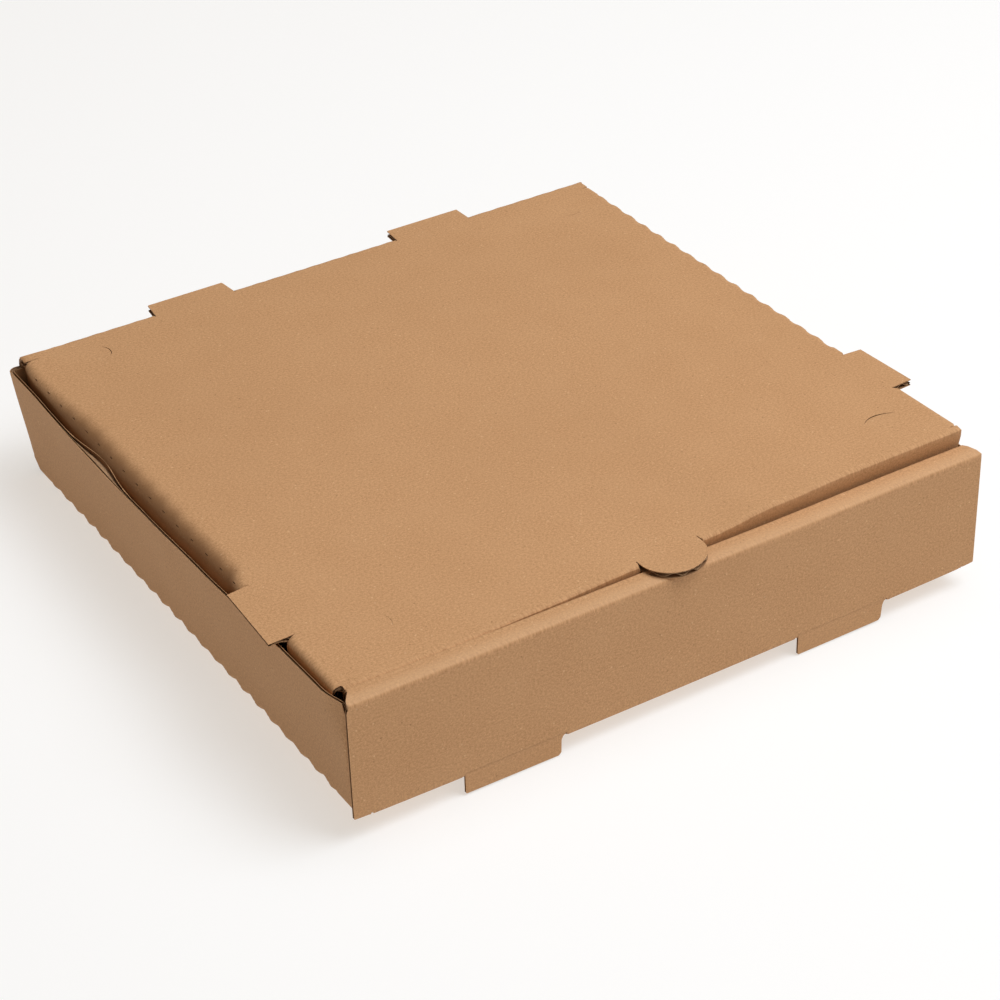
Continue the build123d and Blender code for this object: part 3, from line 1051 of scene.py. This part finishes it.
def trayCreaseAndPaintedLight(u, v):
    au, av = np.abs(u), np.abs(v)
    start = arcStart(u, v, "tray", traySide, wallTurn)
    side = band(au, start, bySide(u, traySide, 1)) * (av < wallRun + 3.6)
    front = band(-v, -frontFold, -frontWall) * (au < 158.6)
    top = band(-v, -frontTop, -shelfStart) * (au < 158.9)
    back = band(-v, -shelfEnd, -innerStart) * (au < 158)
    rear = band(v, backFold, backWall) * (au < 157)
    ears = band(av, wallRun, wallRun + earFold) * (au > 159)
    # Painted light on the shelf: its negative value makes the shelf paler.
    shelf = (v > shelfEnd + 0.3) & (v < frontTop - 1.6)
    return np.clip(side + front + top + back + rear + ears, 0, 1), -0.6 * shelf


def lidSideOutline(side):
    # One half of the lid's outline from front to back, drawn as the right half.
    edge = 156.3
    sideBack = 147.25
    corner = box["lid half"] - (0.5 if side > 0 else 0.0)
    begin, end, widest = lidSides[side]
    cutEnd = begin + (3.3 if side < 0 else 0.0)  # inner end of the cut that frees the side flap behind
    low = lidTop - half - widest * tan(sideTurn / 2) * sin(sideTurn)
    bottom = end + (low - box["flap bottom"]) / sin(sideTurn)
    taper = (bottom - begin) * tan(radians(8))
    if side > 0:
        front = [(150.5, frontBottom), (edge, frontFoldEnd), (edge, lidFold - 0.1), (begin, lidFold - 0.05)]
        front += [(begin, lidFold + 0.15), (end, lidFold + 0.25), (bottom, lidFold + 0.3 + taper)]
    else:
        # The left corner is cut off at a slant
        front = [(147.0, frontBottom), (flapLeft, frontFoldEnd), (flapLeft, lidFold + 0.1)]
        front += [(flapLeft + a, lidFold + b) for a, b in ((1.2, 0.3), (2.4, 1.0), (3.6, 2.4))]
        front += [(end + 1.5, lidFold + 5.0), (bottom, lidFold + 5.0 + taper)]
    behind = sideBack + board["kerf"]
    back = [(bottom, sideBack - taper), (end, sideBack), (cutEnd, sideBack), (cutEnd + 0.1, behind)]
    return front + back + [(corner, behind), (corner, lidBack)]


def backTab(index):
    (rootA, tipA), (rootB, tipB) = tabs["back"][index]
    return [(rootB, lidBack), (tipB, tabs["back tip"]), (tipA, tabs["back tip"]), (rootA, lidBack)]


def crescent(u, v, direction, radius, reach, wide):
    # A thin curved slit through u, v, whose bulge points along the direction.
    towards = radians(direction)
    middleU, middleV = u - radius * cos(towards), v - radius * sin(towards)
    sides = {1: [], -1: []}
    for sign, side in sides.items():
        for t in np.linspace(-reach, reach, 15):
            r = radius + sign * (wide * (1 - (t / reach) ** 2) + 0.02)
            angle = radians(direction + t)
            side.append((middleU + r * cos(angle), middleV + r * sin(angle)))
    return sides[1] + sides[-1][::-1]


def lidLoops():
    kerf = board["kerf"]
    outline = lidSideOutline(1) + backTab(1) + backTab(0) + mirrored(lidSideOutline(-1))
    loops = [subdivide(rounded(outline))]
    middle, radius, start = tabs["thumb"]
    wider = radius + kerf
    turns = np.linspace(0, pi, 40)
    tongue = [(middle + radius * cos(t), start - radius * sin(t)) for t in turns]
    around = [(middle - wider * cos(t), start - wider * sin(t)) for t in turns]
    tongue = [(middle + radius, lidFold)] + tongue + [(middle - radius, lidFold)]
    around = [(middle - wider, lidFold)] + around + [(middle + wider, lidFold)]
    loops.append(subdivide(tongue + around))
    for key, side in (("left", -1), ("right", 1)):
        (backRoot, backTip), (frontRoot, frontTip), (tipBack, tipFront) = tabs[key]
        root = side * tabs["root"][side]
        tongue = [(root, backRoot), (tipBack, backTip), (tipFront, frontTip), (root, frontRoot)]
        reach = side * kerf
        slot = [(root, frontRoot - kerf), (tipFront + reach, frontTip - kerf)]
        slot += [(tipBack + reach, backTip + kerf), (root, backRoot + kerf)]
        loops.append(subdivide(tongue + slot))
        begin, end, _ = lidSides[side]
        u = side * (begin + (end - begin) * (0.52 if side < 0 else 0.5))
        width = perforation[key + " width"]
        cut = perforation["left cut"] if side < 0 else perforation["cut"]
        loops += perforationLoops(u, tabs[key][0][0] + 6, 147.25 - 3, width, cut)
    return loops + [crescent(*slit) for slit in nailSlits]


nailSlits = [
    (-118.5, 137.2, 0, 6.5, 52, 0.18),  # u, v, direction, radius, half turn, half width
    (-115.2, -116.1, 0, 6.5, 38, 0.05),
    (133.6, 126.2, -90, 8.5, 36, 0.09),
    (133.2, -114.4, 90, 13.0, 42, 0.32),
]


def lidRows():
    rows = []
    for side in (1, -1):
        a, b = sorted((side * lidSides[side][0], side * lidSides[side][1]))
        rows.append((a, b, lidFold + 0.3, 147.0, 0.5 if side < 0 else 0.3, perforation["pitch"] / 8))
    for a, b, step in arcRows(frontFoldEnd, lidFold, folds["lid front"], flapTurn):
        rows.append((-flapLeft, 156.3, a, b, board["flute pitch"] / 6, step))
    return rows


def lidCreaseAndPaintedShade(u, v):
    au = np.abs(u)
    start = arcStart(u, v, "lid", lidSides, sideTurn)
    tab = inSideTab(u, v)
    side = band(au, start, bySide(u, lidSides, 1)) * (v > lidFold) * ~tab * np.where(u < 0, 0.3, 1.0)
    front = band(-v, -lidFold, -frontFoldEnd) * ~inThumb(u, v)
    # Painted shade on the left roll and the flap below it, growing from where the roll starts to curve.
    shaded = (u < 0) & (v > tabs["left"][0][0] - 1) & ~tab
    return np.clip(side + front, 0, 1), shaded * smooth(au, start + 1.0, start + 6.5)


def plainCuts(loops):
    # Small knife cuts get no groove: they are found by their place.
    small = [np.array(loop).mean(0) for loop in loops[1:] if len(loop) < 36]

    def test(points):
        out = np.zeros(len(points), bool)
        for centre in small:
            out |= np.hypot(points[:, 0] - centre[0], points[:, 1] - centre[1]) < 5.5
        return out

    return test


stripEnd = 156.4  # how far the hinge strips reach from the middle


def hingeStrip(index, x0, x1, finish):
    # The score line that joins back wall and lid.
    count = max(2, int((x1 - x0) / 4))
    xs = np.linspace(x0, x1, count)
    angles = np.linspace(0, quarter, 9)
    ring = []
    for r, turns in ((outer, angles), (0.5, angles[::-1])):
        ring += [(backFace - outer + r * cos(t), lidTop - outer + r * sin(t)) for t in turns]
    m = len(ring)
    verts, flat, faces, liner = [], [], [], []
    for x in xs:
        ripple = 0.12 * sin(2 * pi * x / board["flute pitch"])
        for k, (y, z) in enumerate(ring):
            face = 1.0 if k < 9 else -1.0
            bulge = sin(pi * (k % 9) / 8) * ripple * (face > 0)
            verts.append((x / mm, (y - bulge * 0.7) / mm, (z - bulge * 0.7) / mm))
            flat.append((x, 200 + (k if k < 9 else 17 - k) * 0.5))
            liner.append(face)
    for i in range(count - 1):
        for k in range(m):
            a, b = i * m + k, i * m + (k + 1) % m
            faces.append((a, a + m, b + m, b))
    faces.append(tuple(range(m)))
    faces.append(tuple((count - 1) * m + k for k in range(m - 1, -1, -1)))
    name = "hingeStrip" + str(index)
    mesh = bpy.data.meshes.new(name)
    mesh.from_pydata(verts, [], faces)
    mesh.validate()
    addValue(mesh, "Liner", liner)
    addValue(mesh, "Crease", np.full(len(verts), 0.8))
    obj = pieceOf(name, mesh, np.array(flat), 50)
    obj.data.materials.append(finish)
    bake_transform(obj)
    return obj


kraftBoard = kraftFinish()
flutingPaper = flutingFinish()
print("materials ready")

loops = trayLoops()
trayBoard, trayEdges = buildBoard("trayBoard", loops, trayRows(), plainCuts(loops), foldTray, trayCreaseAndPaintedLight)
trayBoard.data.materials.append(kraftBoard)
loops = lidLoops()
lidBoard, lidEdges = buildBoard("lidBoard", loops, lidRows(), plainCuts(loops), foldLid, lidCreaseAndPaintedShade)
lidBoard.data.materials.append(kraftBoard)
print("boards folded")

tree = flutingTree()
trayFlutes = buildFluting("trayFlutes", trayEdges, foldTray, tree, flutingPaper)
lidFlutes = buildFluting("lidFlutes", lidEdges, foldLid, tree, flutingPaper)
for body, pieces in (("tray_body", (trayBoard, trayFlutes)), ("lid_body", (lidBoard, lidFlutes))):
    for piece in pieces:
        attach(piece, body)
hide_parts("tray")
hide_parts("lid")
ends = [-stripEnd]
for (rootA, _), (rootB, _) in tabs["back"]:
    ends += [rootA - 0.5, rootB + 0.5]
ends.append(stripEnd)
for i in range(0, len(ends), 2):
    hingeStrip(i // 2 + 1, ends[i], ends[i + 1], kraftBoard)
print("pieces ride")

studio = {
    "floor": (0.37, 0.395, 0.425, 1),
    "glow": (1.0, 0.945, 0.88, 1),
    "glow strength": 0.60,
    "world": (1.0, 0.92, 0.82, 1),
    "world strength": 0.2,
    "key": ((0.85, -0.72, 1.7), 29.0, 1.4, (0.98, 1.0, 1.02)),  # place, power, size, colour
    "top": ((0.45, -0.2, 2.1), 19.0, 1.8, (0.98, 1.0, 1.02)),
    "floor reach": 6.0,
    "foot sag": 0.0021,  # how far the settled feet stand below the CAD's
    "clearance": 0.0003,
}


def makeFloor():
    # The box stands on its feet and its back edge, so the floor leans to meet both.
    feetY, feetZ = -(backFace - half) / mm, trayBox[0].z - studio["foot sag"]
    rearY = (backFace - outer) / mm
    slope = -feetZ / (rearY - feetY)
    reach = studio["floor reach"]
    corners = []
    for x, y in ((-reach, -reach), (reach, -reach), (reach, reach), (-reach, reach)):
        corners.append((x, y, feetZ - studio["clearance"] + (y - feetY) * slope))
    mesh = bpy.data.meshes.new("floor")
    mesh.from_pydata(corners, [], [(0, 1, 2, 3)])
    mesh.update()
    floor = newObject("floor", mesh)
    mesh.materials.append(Finish("studioFloor").dress({
        "Base Color": studio["floor"],
        "Emission Color": studio["glow"],
        "Emission Strength": studio["glow strength"],
        "Roughness": 0.9,
        "Specular IOR Level": 0.1,
    }))
    floor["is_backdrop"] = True


def makeLight(name, place, power, size, colour):
    light = bpy.data.lights.new(name, "AREA")
    light.energy = power
    light.size = size
    light.color = colour
    obj = newObject(name, light)
    obj.location = place
    obj.rotation_mode = "QUATERNION"
    obj.rotation_quaternion = (-Vector(place)).to_track_quat("-Z", "Y")


cameraView = {
    "location": (-0.53241, -0.89397, 0.69249),
    "target": (-0.01170, -0.03312, 0.03000),
    "roll": -1.856,  # degrees
    "lens": 97.457,
    "sensor": 36.0,
    "clip": (0.01, 50.0),
}


def makeCamera():
    data = bpy.data.cameras.new("camera")
    data.lens = cameraView["lens"]
    data.sensor_width = cameraView["sensor"]
    data.clip_start, data.clip_end = cameraView["clip"]
    obj = newObject("camera", data)
    place = Vector(cameraView["location"])
    ahead = (Vector(cameraView["target"]) - place).normalized()
    right = ahead.cross(Vector((0, 0, 1))).normalized()
    up = right.cross(ahead)
    roll = radians(cameraView["roll"])
    rightTurned = right * cos(roll) + up * sin(roll)
    upTurned = rightTurned.cross(ahead)
    turn = Matrix((rightTurned, upTurned, -ahead)).transposed()
    obj.rotation_mode = "QUATERNION"
    obj.location = place
    obj.rotation_quaternion = turn.to_quaternion()
    bpy.context.scene.camera = obj


makeFloor()
makeLight("keyLight", *studio["key"])
makeLight("topLight", *studio["top"])
world = bpy.data.worlds.new("studio")
world.use_nodes = True
sky = world.node_tree.nodes["Background"].inputs
sky["Color"].default_value = studio["world"]
sky["Strength"].default_value = studio["world strength"]
bpy.context.scene.world = world
bpy.context.scene.view_settings.view_transform = "Standard"
makeCamera()
print("studio ready")

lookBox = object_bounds()
for label, (low, high) in (("cad", cadBox), ("visual", lookBox)):
    print(label, [round((b - a) * mm, 1) for a, b in zip(low, high)])
